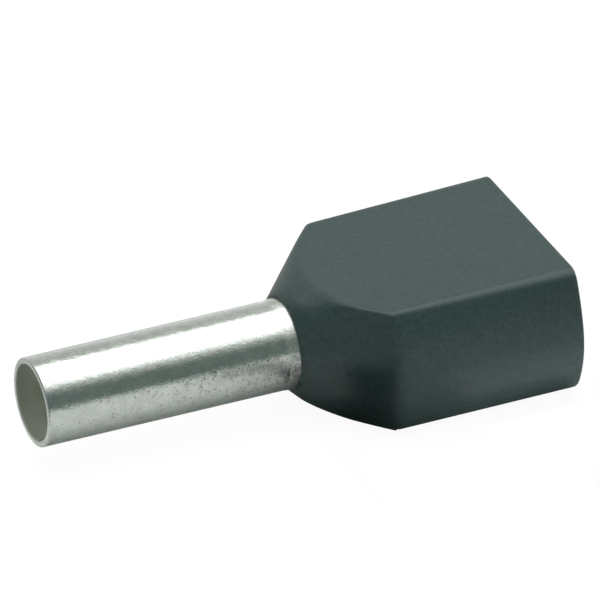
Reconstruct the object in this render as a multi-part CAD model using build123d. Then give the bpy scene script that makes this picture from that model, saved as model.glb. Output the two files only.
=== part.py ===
from build123d import *
import math
import os

# Twin-entry wire end ferrule for two 1.5 mm2 stranded conductors, in millimetres.
# A thin drawn sleeve of tinned copper is held in a moulded plastic collar. The stripped strands of
# both conductors run together in the sleeve, and their insulation fills the collar side by side.
#
# The origin is on the sleeve's axis, at its bare tip. +X runs along the bore towards the wire entry,
# +Y across the collar, and +Z is square to its flats.

# Sleeve
bore_diameter = 2.3
sleeve_wall = 0.2
bare_length = 8.0          # from the tip to the collar
held_length = 1.9          # from the start of the collar to the flared mouth
bell_length = 0.35         # the sleeve swells a little just ahead of the collar
bell_rise = 0.03
flare_length = 0.5         # the mouth opens like a funnel and locks the collar
flare_rise = 0.25
lip_rounding = 0.05

# Collar
collar_length = 8.0
collar_width = 7.6         # across the bowed side walls, at the wire entry
collar_height = 4.19       # over the flats, at the wire entry
side_bow_radius = 4.2      # of the side walls' section, at the wire entry
draft_angle = 1.3          # the mould's draft, which opens the collar towards the entry
collar_wall = 0.3
nose_lip = 0.05            # plastic left round the sleeve where the taper runs out
nose_half_angle = 45.5     # the pencil-point taper, from the axis
shoulder_rounding = 0.5    # where the taper meets the side walls
top_edge_rounding = 0.2
bottom_edge_rounding = 0.4
entry_rim_rounding = 0.08
funnel_half_angle = 60.0   # leads the strands from the entry into the sleeve
inner_corner_rounding = 0.35

# Places along the axis
collar_start = bare_length
entry_plane = collar_start + collar_length
mouth_plane = collar_start + held_length

# Radii that follow
bore_radius = bore_diameter / 2
sleeve_radius = bore_radius + sleeve_wall
held_radius = sleeve_radius + bell_rise
mouth_radius = held_radius + flare_rise
nose_radius = held_radius + nose_lip

# A cutter runs past the face that it opens by this much
overrun = 1.0

# An edge this close to a plane counts as lying in it
near = 0.01


def turned(points):
    """Solid of revolution about the sleeve's axis, from (x, radius) points round its half section."""
    outline = make_face(Plane.XZ * Polyline(points, close=True))
    return revolve(outline, Axis.X, 360)


def sleeve_skin(inset):
    """Line of the sleeve from tip to mouth as (x, radius) points, moved towards the axis by inset."""
    return [
        (0, sleeve_radius - inset),
        (collar_start - bell_length, sleeve_radius - inset),
        (collar_start, held_radius - inset),
        (mouth_plane - flare_length, held_radius - inset),
        (mouth_plane, mouth_radius - inset),
    ]


def sleeve():
    """Thin drawn tube with a rounded lip, a slight bell ahead of the collar and a flared mouth."""
    tube = turned(sleeve_skin(0) + sleeve_skin(sleeve_wall)[::-1])
    lip = tube.edges().filter_by(GeomType.CIRCLE).group_by(Axis.X)[0]
    return fillet(lip, min(lip_rounding, 0.4 * sleeve_wall))


def sleeve_envelope():
    """Everything inside the sleeve's outer skin, which is the seat that the collar is moulded to."""
    return turned([(0, 0)] + sleeve_skin(0) + [(mouth_plane, 0)])


def cone(start, radius, half_angle, end):
    """Solid cone about the axis that has the given radius at start and opens towards end."""
    end_radius = radius + (end - start) * math.tan(math.radians(half_angle))
    return turned([(start, 0), (start, radius), (end, end_radius), (end, 0)])


def drafted_block(start, end, inset):
    """Block with plane flats and bowed sides that opens with the mould's draft, smaller all round by inset."""
    slope = math.tan(math.radians(draft_angle))
    low, high = ((x - entry_plane) * slope - inset for x in (start, end))
    bow = cone(start, side_bow_radius + low, draft_angle, end)
    bow_centre = side_bow_radius - collar_width / 2
    sides = Pos(0, -bow_centre, 0) * bow & Pos(0, bow_centre, 0) * bow
    flat = collar_height / 2
    corners = [(start, -flat - low), (start, flat + low), (end, flat + high), (end, -flat - high)]
    wedge = make_face(Plane.XZ * Polyline(corners, close=True))
    return sides & extrude(wedge, collar_width, both=True)


def between(edges, start, end):
    """The edges that lie neither in the plane at start nor in the one at end."""
    return [edge for edge in edges if start + near < edge.center().X < end - near]


def collar_outside():
    """Pencil-pointed block: the cone cuts a curved crease on each flat and a soft shoulder on each side."""
    taper = cone(collar_start, nose_radius, nose_half_angle, entry_plane + overrun)
    body = drafted_block(collar_start, entry_plane, 0) & taper
    creases = between(body.edges(), collar_start, entry_plane)
    shoulders = [edge for edge in creases if abs(edge.center().Z) < near]
    body = fillet(shoulders, shoulder_rounding)
    top = body.faces().sort_by(Axis.Z)[-1]
    body = fillet(between(top.edges(), collar_start, entry_plane), top_edge_rounding)
    bottom = body.faces().sort_by(Axis.Z)[0]
    return fillet(between(bottom.edges(), collar_start, entry_plane), bottom_edge_rounding)


def collar_cavity():
    """The wire entry, whose walls stay parallel to the outside, and the funnel down to the sleeve's mouth."""
    end = entry_plane + overrun
    entry = drafted_block(mouth_plane, end, collar_wall)
    entry = fillet(between(entry.edges(), mouth_plane, end), inner_corner_rounding)
    return entry & cone(mouth_plane, mouth_radius, funnel_half_angle, end + overrun)


def collar():
    """One moulding, open at the wire entry and closed round the sleeve."""
    body = collar_outside() - collar_cavity() - sleeve_envelope()
    rim = body.edges().group_by(Axis.X)[-1]
    return fillet(rim, min(entry_rim_rounding, 0.4 * collar_wall))


def main():
    os.makedirs("parts", exist_ok=True)
    for name, shape in (("sleeve", sleeve()), ("collar", collar())):
        export_step(shape, f"parts/{name}.step")


main()
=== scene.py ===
import math

import bpy
import numpy as np
from mathutils import Matrix, Vector


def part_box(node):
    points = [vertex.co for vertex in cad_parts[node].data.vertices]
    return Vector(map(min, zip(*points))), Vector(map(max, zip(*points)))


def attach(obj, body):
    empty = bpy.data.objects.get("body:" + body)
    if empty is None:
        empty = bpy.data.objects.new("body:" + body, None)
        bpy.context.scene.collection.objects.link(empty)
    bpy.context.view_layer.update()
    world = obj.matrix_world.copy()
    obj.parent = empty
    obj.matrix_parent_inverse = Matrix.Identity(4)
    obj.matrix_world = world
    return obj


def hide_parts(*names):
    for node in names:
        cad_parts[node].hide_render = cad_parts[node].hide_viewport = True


# Finish, studio and camera for a twin-entry wire end ferrule, in the model's own frame: +X runs from the
# sleeve's bare tip towards the wire entry, and +Z is square to the collar's flats. The frame is in metres.
# Lengths are written here in millimetres, and MM turns them into metres.

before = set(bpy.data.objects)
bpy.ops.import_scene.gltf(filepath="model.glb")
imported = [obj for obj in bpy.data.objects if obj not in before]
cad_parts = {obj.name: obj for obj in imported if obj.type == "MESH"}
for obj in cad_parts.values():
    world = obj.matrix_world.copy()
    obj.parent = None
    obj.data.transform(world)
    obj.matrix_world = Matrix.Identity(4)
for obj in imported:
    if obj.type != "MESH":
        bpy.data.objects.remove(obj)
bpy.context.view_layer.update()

MM = 0.001
NOSE_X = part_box("collar")[0].x / MM
ENTRY_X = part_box("collar")[1].x / MM
FLOOR_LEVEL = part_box("collar")[0].z    # the one length in metres

# Camera, fitted to the photograph, which is 600 pixels square and shows no perspective
PICTURE_SIDE = 600
PIXELS_PER_MM = 34.176
TIP_PIXEL = (31.52, 402.76)            # where the model's origin shows, at the sleeve's tip
AZIMUTH = math.radians(-21.89)
ELEVATION = math.radians(28.35)
ROLL = math.radians(2.48)
CAMERA_DISTANCE = 60
CLIP_RANGE = (1, 2000)

# The collar's outside. The shoulder is where the taper runs into the sides.
SHOULDER_X = 10.2
FLAT_HEIGHTS = (1.918, 2.0925)         # from the axis to each flat, at the nose and at the entry
SIDE_WIDTHS = (3.662, 3.798)           # from the axis to the middle of each side, at the shoulder and entry
BOW_HEIGHT = 2.0                       # height over and under the axis where the bow is measured
UPPER_BOW = (0.515, 0.420)             # how far a side has fallen back over the axis
LOWER_BOW = (0.507, 0.73)              # and under it
SIDE_MIDDLE = 0.04                     # the height of a side's furthest point
SIDE_CREST = (3.0, 1.8)                # how round its crest is above. Below, the first holds all along.
TAPER_RADIUS, TAPER_ANGLE = 1.465, math.radians(45.8)
TAPER_RISE = 0.02                      # of the taper's axis over the sleeve's

# How softly two of its faces meet. The greater the number, the rounder the edge.
TOP_EDGE = (0.14, 0.34)                # upper flat and sides, at the shoulder and entry
BOTTOM_EDGE = (0.20, 0.50)             # lower flat and sides
TOP_CREASE = (0.60, 0.12)              # upper flat and taper, in the crease's middle and at its corners
BOTTOM_CREASE = (0.22, 0.09)           # lower flat and taper
CREASE_START, CREASE_LENGTH = 8.45, 0.9
SHOULDER_EDGE = (0.28, 0.10)           # taper and sides, halfway up and at the flats

# The collar's inside
WALL, RIM_ROUNDING = 0.3, 0.08
INNER_EDGE, FUNNEL_EDGE = 0.38, 0.1    # how softly walls meet walls, and walls meet the funnel
HELD_RADIUS, MOUTH_RADIUS = 1.38, 1.63
FLARE_X, MOUTH_X = 9.4, 9.9
NOSE_CHAMFER = (0.02, 0.01)            # of the seat's edge at the nose, along and across
FUNNEL_ANGLE = math.radians(60)

# The rings of points that make the collar's skin
SIDE_POINTS, FLAT_POINTS = 130, 100    # along each side and each flat
CROWDING = 0.75                        # share of the spacing that draws points to the corners
LEAST_CORNER = 0.2                     # least square of a corner's distance from the middle plane
SEARCH_RADII, SEARCH_STEPS = (0.3, 6.0), 30
FINE_RINGS = (9.9, 10.5)               # the stretch round the shoulder where rings lie closest
TAPER_STEP, FINE_STEP = 0.035, 0.02
REAR_RINGS, NECK_RINGS = 34, 16
HOLLOW_RINGS, FUNNEL_RINGS = 12, 20
HOLLOW_END, FUNNEL_START = 11.1, 11.0
MOUTH_GAP = 0.01                       # between the funnel's last ring and the sleeve's mouth

# Spots. Their smallest radius and their raggedness are shares of the greatest radius.
SMALLEST_SPOT, SPOT_RAGGEDNESS = 0.3, 0.8
SPOT_FADE, CHANCE_FADE = (1.9, 1.1), (0.0, 0.05)

# Tinned copper. A pair of numbers is where something fades in, from none of it to all of it.
TIN_DULL, TIN_BRIGHT = (0.60, 0.635, 0.60, 1), (0.70, 0.74, 0.70, 1)
SPECK_GREY, BLOT_GREY = (0.42, 0.43, 0.38, 1), (0.38, 0.36, 0.38, 1)
PIT_GREY, STAIN_BROWN = (0.28, 0.25, 0.26, 1), (0.42, 0.38, 0.34, 1)
# The bore's colour grows lighter deeper in. This is painted light, where little light reaches.
BORE_TIP, BORE_DEEP_PAINTED_LIGHT = (0.33, 0.35, 0.29, 1), (0.72, 0.77, 0.66, 1)
BORE_EDGE = (1.195, 1.165)             # the bore, by radius
BORE_PAINTED_LIGHT_FADE = (-0.1, 0.9)                # the bore's colour, painted lighter deeper in along the axis: painted light where little light reaches
RING_FADE = (7.60, 7.66)               # the dull ring beside the collar
TIP_FADE = (0.16, 0.04)                # the stains of the lip at the tip
END_FADE = (0.02, 0.05)                # which spare the end face
PITS_ALONG = (-1.0, 7.0)               # the pits, from the tip towards the collar
PITS_ROUND = (0.92, 1.12)              # the pits, by distance from the axis, down and to the front
PITS_LOWEST = (-0.95, -0.6)            # which spare the lowest part of the tube
BRIGHT_FADE = (0.38, 0.62)             # the brighter tin, by the blotches' noise
BLOT_FADE, STAIN_FADE = (-0.03, 0.06), (0.46, 0.62)
TIN_RELIEF, TIN_ROUGHNESS = 0.0058, 0.07

# Collar plastic
PLASTIC_DARK, PLASTIC_PALE = (0.025, 0.050, 0.049, 1), (0.031, 0.058, 0.056, 1)
PLASTIC_GRAIN = (0.043, 0.080, 0.077, 1)
GRAIN_FADE, SCUFF_FADE = (0.50, 0.90), (0.66, 0.74)
PLASTIC_RELIEF, RELIEF_STRENGTH = 0.006, 0.5
PLASTIC_ROUGHNESS, PLASTIC_SPECULAR = 0.33, 0.44

# Studio
WHITE = (1, 1, 1, 1)
WORLD_SEEN, WORLD_LIGHT = 1.0, 0.5
FLOOR_REACH = 600
FLOOR_GLOW, GLOW_SHARE = 1.05, 0.9     # what the camera sees of the floor is mostly a glow
FLOOR_SHADE = (0.9, 0.9, 0.9, 1)       # and the rest is paint that takes the object's shadow
# Out of the camera's sight the floor's paint holds painted light and shade. It has a painted pool of light
# towards the entry, painted shade behind and ahead of the tip, and a painted shadow of the collar under the
# taper.
FLOOR_PAINT, BACK_PAINTED_SHADE = (0.80, 0.81, 0.80, 1), (0.64, 0.65, 0.64, 1)
FAR_PAINTED_LIGHT, LEFT_PAINTED_SHADE = (0.93, 0.93, 0.93, 1), (0.38, 0.39, 0.38, 1)
# The painted shadow, which stands for the collar's shade on the floor by the taper
PAINTED_SHADOW = (0.06, 0.06, 0.06, 1)
SHADE_MIDDLE, SHADE_REACH = (8.5, -2.6, 0), (4.5, 3.6)
SHADE_EDGE = (0.1, 1.0)                # the open floor's paint, by shares of the painted shadow's reach
SHADE_END = (-0.2, -0.5)               # and along the axis, measured from the painted shadow's middle
BACK_FADE, FAR_FADE, LEFT_FADE = (4.0, 6.5), (1.5, 4.5), (-11.0, -14.0)
CARD_TOP = 107
WARM_DARK, SPILL = (0.15, 0.19, 0.175, 1), (0.8, 0.8, 0.8, 1)
LEFT_LOW, LEFT_HIGH = (0.28, 0.31, 0.295, 1), (0.05, 0.06, 0.055, 1)
BRIGHT, PALE = (0.8, 0.8, 0.8, 1), (0.56, 0.58, 0.55, 1)
CARD_BLACK, FLAG_BACK = (0.02, 0.02, 0.02, 1), (0.6, 0.6, 0.6, 1)
REFLECTOR_LIFT, REFLECTOR_LEVEL = 0.02, 1.2
SOFTBOX_LENGTH, SOFTBOX_X = 260, 40
FILL_SIZE, FILL_WATTS = 40, 0.025
FILL_PLACE, FILL_AIM = (78, -52, 14), (12, 0, 0)


def node(tree, kind, inputs=None, **settings):
    """Adds a shader node. An input given as a socket is linked, and any other is set."""
    made = tree.nodes.new(kind)
    for name, value in settings.items():
        setattr(made, name, value)
    for name, value in (inputs or {}).items():
        if isinstance(value, bpy.types.NodeSocket):
            tree.links.new(value, made.inputs[name])
        else:
            made.inputs[name].default_value = value
    return made


def math_node(tree, operation, *values):
    """The result socket of a Math node."""
    return node(tree, "ShaderNodeMath", dict(enumerate(values)), operation=operation).outputs[0]


def product(tree, first, second):
    """One value times another."""
    return math_node(tree, "MULTIPLY", first, second)


def weighted(tree, value, weight, rest):
    """A value times its weight, plus the rest."""
    return math_node(tree, "MULTIPLY_ADD", value, weight, rest)


def vector_math(tree, operation, *values):
    """A Vector Math node."""
    return node(tree, "ShaderNodeVectorMath", dict(enumerate(values)), operation=operation)


def parts_of(tree, place):
    """The three coordinates of a place."""
    return node(tree, "ShaderNodeSeparateXYZ", {0: place}).outputs


def step_up(tree, value, low, high):
    """Rises smoothly from 0 at low to 1 at high."""
    made = node(tree, "ShaderNodeMapRange", {0: value, 1: low, 2: high}, interpolation_type="SMOOTHSTEP")
    return made.outputs[0]


def mixed(tree, factor, first, second):
    """The first colour at factor 0 and the second at 1."""
    made = node(tree, "ShaderNodeMix", {"Factor": factor, 6: first, 7: second}, data_type="RGBA")
    return made.outputs[2]


def noise(tree, place, scale, detail=2.0, roughness=0.5):
    """Noise of about scale cells for each unit of place."""
    inputs = {"Vector": place, "Scale": scale, "Detail": detail, "Roughness": roughness}
    return node(tree, "ShaderNodeTexNoise", inputs).outputs[0]


def scaled(tree, place, x, y, z):
    """The place with each of its coordinates multiplied."""
    return vector_math(tree, "MULTIPLY", place, (x, y, z)).outputs[0]


def new_material(name):
    """A material with an empty node tree, and the place on the surface in millimetres."""
    material = bpy.data.materials.new(name)
    material.use_nodes = True
    tree = material.node_tree
    tree.nodes.clear()
    metres = node(tree, "ShaderNodeTexCoord").outputs["Object"]
    return material, tree, scaled(tree, metres, 1 / MM, 1 / MM, 1 / MM)


def finish_material(tree, shader):
    """Leads the shader to the material's output."""
    node(tree, "ShaderNodeOutputMaterial", {"Surface": shader.outputs[0]})


def between(pair, share):
    """The value that lies at a share of the way from the first of a pair to the second."""
    return pair[0] + (pair[1] - pair[0]) * share


def eased(share):
    """A share that starts and ends its rise from 0 to 1 gently."""
    share = np.clip(share, 0, 1)
    return share * share * (3 - 2 * share)


def smooth_max(first, second, softness):
    """The greater of two distances, rounded over where they are nearly the same."""
    overlap = np.clip(softness - np.abs(first - second), 0, None) / softness
    return np.maximum(first, second) + overlap * overlap * softness / 4


def rear_share(x):
    """0 up to the shoulder, and 1 at the wire entry."""
    return np.clip((x - SHOULDER_X) / (ENTRY_X - SHOULDER_X), 0, 1)


def flat_height(x):
    """Height of the collar's flats over the axis."""
    return between(FLAT_HEIGHTS, (x - NOSE_X) / (ENTRY_X - NOSE_X))


def side_width(x, z):
    """Distance from the middle plane to the bowed side wall."""
    rear = rear_share(x)
    above = z - SIDE_MIDDLE
    reach = np.where(above > 0, BOW_HEIGHT - SIDE_MIDDLE, BOW_HEIGHT + SIDE_MIDDLE)
    bow = np.where(above > 0, between(UPPER_BOW, rear), between(LOWER_BOW, rear))
    crest = np.where(above > 0, between(SIDE_CREST, rear), SIDE_CREST[0])
    fall = (np.hypot(crest, above) - crest) / (np.hypot(crest, reach) - crest)
    return between(SIDE_WIDTHS, rear) - bow * fall


def taper_radius(x):
    """Radius of the taper's cone."""
    return TAPER_RADIUS + (x - NOSE_X) * math.tan(TAPER_ANGLE)


def outside(x, y, z):
    """Distance to the collar's outside, which is below zero in the collar."""
    side = np.abs(y) - side_width(x, z)
    taper = (np.hypot(y, z - TAPER_RISE) - taper_radius(x)) * math.cos(TAPER_ANGLE)
    halfway_up = 1 - np.clip(np.abs(z) / BOW_HEIGHT, 0, 1) ** 2
    distance = smooth_max(side, taper, between(SHOULDER_EDGE, 1 - halfway_up))
    rear = rear_share(x)
    along = eased((x - CREASE_START) / CREASE_LENGTH)
    top = np.where(x < SHOULDER_X, between(TOP_CREASE, along), between(TOP_EDGE, rear))
    bottom = np.where(x < SHOULDER_X, between(BOTTOM_CREASE, along), between(BOTTOM_EDGE, rear))
    distance = smooth_max(distance, z - flat_height(x), top)
    return smooth_max(distance, -z - flat_height(x), bottom)


def inside(x, y, z):
    """Distance to the walls of the wire entry and its funnel, which is below zero in the hollow."""
    side = np.abs(y) - side_width(x, z) + WALL
    flat = np.abs(z) - flat_height(x) + WALL
    funnel_radius = MOUTH_RADIUS + (x - MOUTH_X) * math.tan(FUNNEL_ANGLE)
    funnel = (np.hypot(y, z) - funnel_radius) * math.cos(FUNNEL_ANGLE)
    return smooth_max(smooth_max(side, flat, INNER_EDGE), funnel, FUNNEL_EDGE)


def ring_angles(x, inset):
    """Angles of a ring's points, which crowd together at the four corners."""
    height = flat_height(x) - inset
    corner = math.sqrt(max(taper_radius(x) ** 2 - height ** 2, LEAST_CORNER))
    corner = min(corner, float(side_width(x, height)) - inset)
    turn = math.atan2(height, corner)
    stops = [-turn, turn, math.pi - turn, math.pi + turn, 2 * math.pi - turn]
    angles = []
    for start, end, count in zip(stops, stops[1:], (SIDE_POINTS, FLAT_POINTS) * 2):
        share = np.arange(count) / count
        share = (1 - CROWDING) * share + CROWDING * (1 - np.cos(np.pi * share)) / 2
        angles.append(start + (end - start) * share)
    return np.concatenate(angles)


def rings_on(surface, stations, level, inset):
    """Rings of points at each station along the axis, at the given level of a surface's distance."""
    x = np.array(stations)[:, None]
    level = np.broadcast_to(level, x.shape[0])[:, None]
    angles = np.array([ring_angles(station, inset) for station in stations])
    across, up = np.cos(angles), np.sin(angles)
    near, far = (np.full(angles.shape, radius) for radius in SEARCH_RADII)
    for _ in range(SEARCH_STEPS):
        middle = (near + far) / 2
        within = surface(x, middle * across, middle * up) < level
        near, far = np.where(within, middle, near), np.where(within, far, middle)
    return np.stack([x + 0 * near, near * across, near * up], axis=-1)


def neck_rings():
    """Round rings along the sleeve's skin, from funnel to nose, whose points turn a little on the way."""
    stations = np.linspace(FLARE_X, NOSE_X + NOSE_CHAMFER[0], NECK_RINGS)
    shares = np.linspace(0, 1, NECK_RINGS)
    profile = [(MOUTH_X, MOUTH_RADIUS, 0.0)]
    profile += [(x, HELD_RADIUS, share) for x, share in zip(stations, shares)]
    profile += [(NOSE_X, HELD_RADIUS + NOSE_CHAMFER[1], 1.0)]
    turns = ring_angles(MOUTH_X, WALL), ring_angles(NOSE_X, 0)
    rings = []
    for x, radius, share in profile:
        angles = between(turns, share)
        rings.append(np.stack([0 * angles + x, radius * np.cos(angles), radius * np.sin(angles)], axis=-1))
    return np.array(rings)


def ring_mesh(name, rings):
    """A closed mesh through rings of points, whose last ring joins the first."""
    count, points = rings.shape[:2]
    mesh = bpy.data.meshes.new(name)
    faces = []
    for ring in range(count):
        here, there = ring * points, (ring + 1) % count * points
        for i in range(points):
            j = (i + 1) % points
            faces.append((here + i, here + j, there + j, there + i))
    mesh.from_pydata((rings.reshape(-1, 3) * MM).tolist(), [], faces)
    mesh.shade_smooth()
    piece = bpy.data.objects.new(name, mesh)
    bpy.context.scene.collection.objects.link(piece)
    return piece


def moulded_collar():
    """The collar in one closed skin: up the outside, over the entry's rim and back down the inside."""
    rim = ENTRY_X - RIM_ROUNDING
    turns = np.radians(np.arange(15, 91, 15))
    back = turns[::-1]
    stations = np.concatenate([
        np.arange(NOSE_X, FINE_RINGS[0], TAPER_STEP),
        np.arange(*FINE_RINGS, FINE_STEP),
        np.linspace(FINE_RINGS[1], rim, REAR_RINGS),
    ])
    outer = rings_on(outside, stations, 0, 0)
    over = rings_on(outside, rim + RIM_ROUNDING * np.sin(turns), -RIM_ROUNDING * (1 - np.cos(turns)), 0)
    under = rings_on(inside, rim + RIM_ROUNDING * np.sin(back), RIM_ROUNDING * (1 - np.cos(back)), WALL)
    stations = np.concatenate([
        np.linspace(rim, HOLLOW_END, HOLLOW_RINGS),
        np.linspace(FUNNEL_START, MOUTH_X + MOUTH_GAP, FUNNEL_RINGS),
    ])
    inner = rings_on(inside, stations, 0, WALL)
    return ring_mesh("moulded_collar", np.concatenate([outer, over, under, inner, neck_rings()]))


def spots(tree, place, scale, size, density, seed):
    """Ragged spots in cells that are 1/scale wide. Density is the share of the cells that hold one, and size
    is a spot's greatest radius as a share of its cell."""
    moved = vector_math(tree, "ADD", place, (seed, 2.3 * seed, 3.1 * seed)).outputs[0]
    cells = node(tree, "ShaderNodeTexVoronoi", {"Vector": moved, "Scale": scale})
    chance = node(tree, "ShaderNodeSeparateColor", {0: cells.outputs["Color"]}).outputs
    shown = step_up(tree, math_node(tree, "SUBTRACT", density, chance[0]), *CHANCE_FADE)
    radius = weighted(tree, chance[1], size * (1 - SMALLEST_SPOT), size * SMALLEST_SPOT)
    edge_noise = noise(tree, place, scale * 3, 1.0)
    ragged = weighted(tree, edge_noise, size * SPOT_RAGGEDNESS, cells.outputs["Distance"])
    return product(tree, shown, step_up(tree, math_node(tree, "DIVIDE", ragged, radius), *SPOT_FADE))


def tinned_copper():
    """Bright tin plate, finely rippled and freckled with pits towards the collar. The dull bore has painted light
    deeper in.
    """
    material, tree, place = new_material("tinned_copper_finish")
    x, y, z = parts_of(tree, place)
    flattened = node(tree, "ShaderNodeCombineXYZ", {0: 0.0, 1: y, 2: z}).outputs[0]
    radius = vector_math(tree, "LENGTH", flattened).outputs["Value"]
    bore = step_up(tree, radius, *BORE_EDGE)
    ring = step_up(tree, x, *RING_FADE)
    tip = product(tree, step_up(tree, x, *TIP_FADE), step_up(tree, x, *END_FADE))
    ripple = noise(tree, place, 5.0)
    grain = noise(tree, place, 17.0, 3.0, 0.7)
    drawing = noise(tree, scaled(tree, place, 0.5, 9.0, 9.0), 1.6, 3.0)
    blotches = noise(tree, place, 3.2, 4.0, 0.75)

    # Pits lie on the side towards the floor and thicken towards the collar. Dull specks lie all round.
    facing_down = weighted(tree, z, -0.35, product(tree, y, -0.9))
    low = product(tree, step_up(tree, facing_down, *PITS_ROUND), step_up(tree, z, *PITS_LOWEST))
    pitted = product(tree, low, step_up(tree, x, *PITS_ALONG))
    blot_noise = noise(tree, place, 6.5, 3.0, 0.68)
    blot_limit = weighted(tree, pitted, -0.13, 0.665)
    blots = step_up(tree, math_node(tree, "SUBTRACT", blot_noise, blot_limit), *BLOT_FADE)
    pits = spots(tree, place, 8.5, 0.34, product(tree, pitted, 0.72), 0.0)
    specks = spots(tree, place, 13.0, 0.36, weighted(tree, blotches, 1.2, -0.30), 11.0)
    stain_noise = noise(tree, place, 6.5, 3.0, 0.6)
    stains = product(tree, math_node(tree, "MAXIMUM", ring, tip), step_up(tree, stain_noise, *STAIN_FADE))

    tin = mixed(tree, step_up(tree, blotches, *BRIGHT_FADE), TIN_DULL, TIN_BRIGHT)
    marks = (specks, 0.6, SPECK_GREY), (blots, 0.4, BLOT_GREY), (pits, 0.62, PIT_GREY), (stains, 0.2, STAIN_BROWN)
    for mark, strength, paint in marks:
        tin = mixed(tree, product(tree, mark, strength), tin, paint)
    # Painted light: the bore's colour grows lighter deeper in, where little light reaches
    inner = mixed(tree, step_up(tree, x, *BORE_PAINTED_LIGHT_FADE), BORE_TIP, BORE_DEEP_PAINTED_LIGHT)
    rough = weighted(tree, grain, 0.12, TIN_ROUGHNESS)
    for duller, rise in ((specks, 0.22), (blots, 0.15), (ring, 0.13), (bore, 0.45)):
        rough = weighted(tree, duller, rise, rough)
    height = weighted(tree, drawing, 0.12, ripple)
    for relief, share in ((grain, 0.9), (pits, -0.4)):
        height = weighted(tree, relief, share, height)
    bump = node(tree, "ShaderNodeBump", {"Strength": 1.0, "Distance": TIN_RELIEF * MM, "Height": height})
    finish_material(tree, node(tree, "ShaderNodeBsdfPrincipled", {
        "Base Color": mixed(tree, bore, tin, inner),
        "Metallic": math_node(tree, "SUBTRACT", 1.0, bore),
        "Roughness": rough,
        "Normal": bump.outputs[0],
    }))
    return material


def collar_plastic():
    """Satin black moulded plastic with a dark green cast, a fine grain and faint scuffs."""
    material, tree, place = new_material("collar_plastic_finish")
    grain = noise(tree, place, 15.0, 2.0, 0.6)
    mottle = noise(tree, place, 5.0)
    cloud = noise(tree, place, 0.9, 3.0)
    scuff_noise = noise(tree, scaled(tree, place, 0.5, 3.0, 3.0), 1.6, 3.0)
    colour = mixed(tree, cloud, PLASTIC_DARK, PLASTIC_PALE)
    pale_grain = step_up(tree, weighted(tree, mottle, 0.4, grain), *GRAIN_FADE)
    rough = weighted(tree, grain, 0.14, PLASTIC_ROUGHNESS)
    rough = weighted(tree, step_up(tree, scuff_noise, *SCUFF_FADE), 0.10, rough)
    bump = node(tree, "ShaderNodeBump", {
        "Strength": RELIEF_STRENGTH,
        "Distance": PLASTIC_RELIEF * MM,
        "Height": weighted(tree, mottle, 0.45, grain),
    })
    finish_material(tree, node(tree, "ShaderNodeBsdfPrincipled", {
        "Base Color": mixed(tree, pale_grain, colour, PLASTIC_GRAIN),
        "Roughness": rough,
        "Specular IOR Level": PLASTIC_SPECULAR,
        "Normal": bump.outputs[0],
    }))
    return material


def sees_background(tree):
    """1 for rays that should meet the white background: the camera's, and those of metal and glass."""
    rays = node(tree, "ShaderNodeLightPath").outputs
    shiny = math_node(tree, "MAXIMUM", rays["Is Glossy Ray"], rays["Is Transmission Ray"])
    return math_node(tree, "MAXIMUM", rays["Is Camera Ray"], shiny)


def white_world():
    """White to look at, and a little dimmer as a light."""
    world = bpy.data.worlds.new("studio")
    world.use_nodes = True
    tree = world.node_tree
    tree.nodes.clear()
    lit, seen = (
        node(tree, "ShaderNodeBackground", {"Color": WHITE, "Strength": strength}).outputs[0]
        for strength in (WORLD_LIGHT, WORLD_SEEN))
    shader = node(tree, "ShaderNodeMixShader", {0: sees_background(tree), 1: lit, 2: seen})
    node(tree, "ShaderNodeOutputWorld", {"Surface": shader.outputs[0]})
    bpy.context.scene.world = world


def flat_panel(name, corner, side_a, side_b):
    """A rectangle of the studio that starts at a corner and runs along two sides, all in metres."""
    corner, side_a, side_b = Vector(corner), Vector(side_a), Vector(side_b)
    points = [corner, corner + side_a, corner + side_a + side_b, corner + side_b]
    mesh = bpy.data.meshes.new(name)
    mesh.from_pydata([tuple(p) for p in points], [], [(0, 1, 2, 3)])
    panel = bpy.data.objects.new(name, mesh)
    bpy.context.scene.collection.objects.link(panel)
    return panel


def paper(panel, name):
    """Gives a panel a material of that name, and returns its nodes and the place on it in millimetres."""
    material, tree, place = new_material(name)
    panel.data.materials.append(material)
    return tree, place


def hide_from(piece, *rays):
    """Keeps a piece of the studio out of sight of the rays named."""
    for ray in rays:
        setattr(piece, "visible_" + ray, False)


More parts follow.
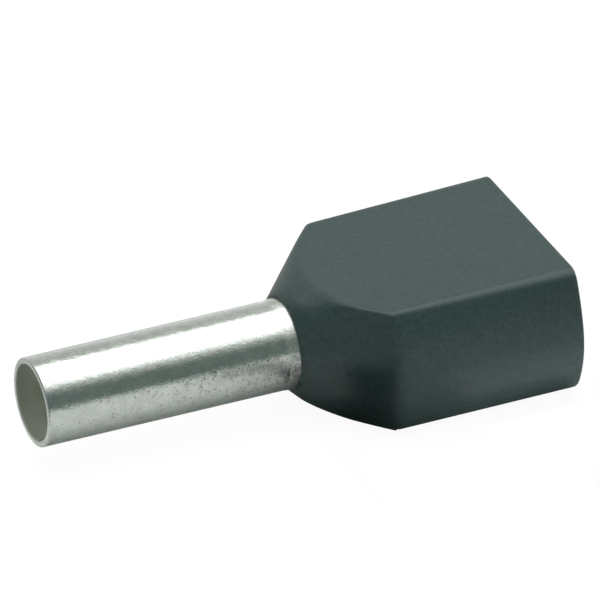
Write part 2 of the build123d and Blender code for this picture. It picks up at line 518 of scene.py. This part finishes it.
def floor():
    """A floor that is white to the camera and keeps the object's soft shadow. Other rays meet matt paint with
    painted
    light and shade: pale, a painted pool of light towards the entry, painted shade behind and ahead of the tip,
    and a painted shadow under the taper."""
    reach = FLOOR_REACH * MM
    panel = flat_panel("floor", (-reach, -reach, FLOOR_LEVEL), (2 * reach, 0, 0), (0, 2 * reach, 0))
    tree, place = paper(panel, "floor_white")
    x, y, _ = parts_of(tree, vector_math(tree, "SUBTRACT", place, SHADE_MIDDLE).outputs[0])
    shares = node(tree, "ShaderNodeCombineXYZ", {
        0: math_node(tree, "DIVIDE", x, SHADE_REACH[0]),
        1: math_node(tree, "DIVIDE", y, SHADE_REACH[1]),
    }).outputs[0]
    distance = vector_math(tree, "LENGTH", shares).outputs["Value"]
    # Painted light and shade on the floor: paler towards the entry, and duller behind and ahead of the tip
    paint = mixed(tree, step_up(tree, y, *BACK_FADE), FLOOR_PAINT, BACK_PAINTED_SHADE)
    paint = mixed(tree, step_up(tree, x, *FAR_FADE), paint, FAR_PAINTED_LIGHT)
    paint = mixed(tree, step_up(tree, x, *LEFT_FADE), paint, LEFT_PAINTED_SHADE)
    # The painted shadow under the taper, standing for the collar's shade on the floor
    outside_shade, before_shade = step_up(tree, distance, *SHADE_EDGE), step_up(tree, x, *SHADE_END)
    paint = mixed(tree, math_node(tree, "MAXIMUM", outside_shade, before_shade), PAINTED_SHADOW, paint)
    lit = node(tree, "ShaderNodeBsdfDiffuse", {"Color": paint}).outputs[0]
    shade = node(tree, "ShaderNodeBsdfDiffuse", {"Color": FLOOR_SHADE}).outputs[0]
    glow = node(tree, "ShaderNodeEmission", {"Color": WHITE, "Strength": FLOOR_GLOW}).outputs[0]
    seen = node(tree, "ShaderNodeMixShader", {0: GLOW_SHARE, 1: shade, 2: glow}).outputs[0]
    camera_ray = node(tree, "ShaderNodeLightPath").outputs["Is Camera Ray"]
    finish_material(tree, node(tree, "ShaderNodeMixShader", {0: camera_ray, 1: lit, 2: seen}))


def studio_card(name, corner, side, low_colour, high_colour, fade):
    """An upright card on one side of the studio, which fades from one colour to another on its way up."""
    corner, side = ([MM * length for length in ends] for ends in (corner, side))
    panel = flat_panel(name, (*corner, FLOOR_LEVEL), (*side, 0), (0, 0, CARD_TOP * MM))
    tree, place = paper(panel, name + "_paper")
    colour = mixed(tree, step_up(tree, parts_of(tree, place)[2], *fade), low_colour, high_colour)
    finish_material(tree, node(tree, "ShaderNodeEmission", {"Color": colour, "Strength": 1.0}))
    hide_from(panel, "camera")


def flag():
    """A small card that stands before the collar's shoulder: black towards the collar, pale behind."""
    panel = flat_panel("flag", (8.15 * MM, -9 * MM, FLOOR_LEVEL), (0, 6.2 * MM, 0), (0, 0, 1.9 * MM))
    tree, _ = paper(panel, "flag_paper")
    back_side = node(tree, "ShaderNodeNewGeometry").outputs["Backfacing"]
    colour = mixed(tree, back_side, CARD_BLACK, FLAG_BACK)
    finish_material(tree, node(tree, "ShaderNodeBsdfDiffuse", {"Color": colour}))
    hide_from(panel, "camera", "shadow")


def gobo():
    """A small black card over the collar's near rear corner, which keeps some light from the side wall."""
    panel = flat_panel("gobo", (14.3 * MM, -10 * MM, 3.9 * MM), (9 * MM, 0, 0), (0, 5.7 * MM, 0))
    tree, _ = paper(panel, "gobo_paper")
    finish_material(tree, node(tree, "ShaderNodeBsdfDiffuse", {"Color": CARD_BLACK}))
    hide_from(panel, "camera", "glossy")


def reflector():
    """A small bright card just over the floor by the collar's rear half, which no mirror or camera sees."""
    corner = (12.6 * MM, -7.5 * MM, FLOOR_LEVEL + REFLECTOR_LIFT * MM)
    panel = flat_panel("reflector", corner, (7 * MM, 0, 0), (0, 3.7 * MM, 0))
    tree, _ = paper(panel, "reflector_paper")
    finish_material(tree, node(tree, "ShaderNodeEmission", {"Color": SPILL, "Strength": REFLECTOR_LEVEL}))
    hide_from(panel, "camera", "glossy", "shadow")


def area_lamp(name, *hidden_rays):
    """An area light and its lamp, which the rays named do not see."""
    light = bpy.data.lights.new(name, "AREA")
    lamp = bpy.data.objects.new(name, light)
    hide_from(lamp, *hidden_rays)
    bpy.context.scene.collection.objects.link(lamp)
    return light, lamp


def softbox(name, low_y, high_y, height, level):
    """A broad soft light overhead, which runs along the object. Its power follows its area, so that the level
    alone sets how bright it looks."""
    length, width = SOFTBOX_LENGTH * MM, (high_y - low_y) * MM
    light, lamp = area_lamp(name, "camera")
    light.shape = "RECTANGLE"
    light.size = length
    light.size_y = width
    light.energy = level * math.pi * length * width
    lamp.location = (SOFTBOX_X * MM, (low_y + high_y) / 2 * MM, height * MM)


def fill_light():
    """A weak light from the right that no mirror shows, so that it only lifts matt colours."""
    light, lamp = area_lamp("fill_light", "camera", "glossy")
    light.size = FILL_SIZE * MM
    light.energy = FILL_WATTS
    place, aim = (Vector([MM * length for length in spot]) for spot in (FILL_PLACE, FILL_AIM))
    lamp.matrix_world = Matrix.Translation(place) @ (place - aim).to_track_quat("Z", "Y").to_matrix().to_4x4()


def camera():
    """The photograph's viewing angle and frame."""
    back = Vector((
        math.sin(AZIMUTH) * math.cos(ELEVATION),
        -math.cos(AZIMUTH) * math.cos(ELEVATION),
        math.sin(ELEVATION),
    ))
    level_right = Vector((math.cos(AZIMUTH), math.sin(AZIMUTH), 0))
    level_up = back.cross(level_right)
    right = level_right * math.cos(ROLL) - level_up * math.sin(ROLL)
    up = level_right * math.sin(ROLL) + level_up * math.cos(ROLL)
    middle_right = (PICTURE_SIDE / 2 - TIP_PIXEL[0]) / PIXELS_PER_MM * MM
    middle_up = (TIP_PIXEL[1] - PICTURE_SIDE / 2) / PIXELS_PER_MM * MM
    data = bpy.data.cameras.new("camera")
    data.type = "ORTHO"
    data.ortho_scale = PICTURE_SIDE / PIXELS_PER_MM * MM
    data.clip_start, data.clip_end = (MM * distance for distance in CLIP_RANGE)
    view = bpy.data.objects.new("camera", data)
    turned = Matrix((right, up, back)).transposed().to_4x4()
    place = right * middle_right + up * middle_up + back * (CAMERA_DISTANCE * MM)
    view.matrix_world = Matrix.Translation(place) @ turned
    bpy.context.scene.collection.objects.link(view)
    bpy.context.scene.camera = view


def dress(name, material):
    """Gives a node of the model its finish."""
    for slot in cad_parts[name].material_slots:
        slot.material = material


dress("sleeve", tinned_copper())
collar = moulded_collar()
collar.data.materials.append(collar_plastic())
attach(collar, "root")
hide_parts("collar")

floor()
white_world()
softbox("softbox", -71, 65, 101, 0.68)
softbox("softbox_core", -28, 60, 100, 0.70)
fill_light()
flag()
gobo()
reflector()
studio_card("front_card", (-60, -60), (220, 0), WARM_DARK, SPILL, (39.0, 98.0))
studio_card("left_card", (-60, -60), (0, 120), LEFT_LOW, LEFT_HIGH, (28.0, 45.0))
studio_card("back_card", (-120, 72), (280, 0), BRIGHT, PALE, (5.0, 30.0))
camera()
bpy.context.scene.view_settings.view_transform = "Standard"
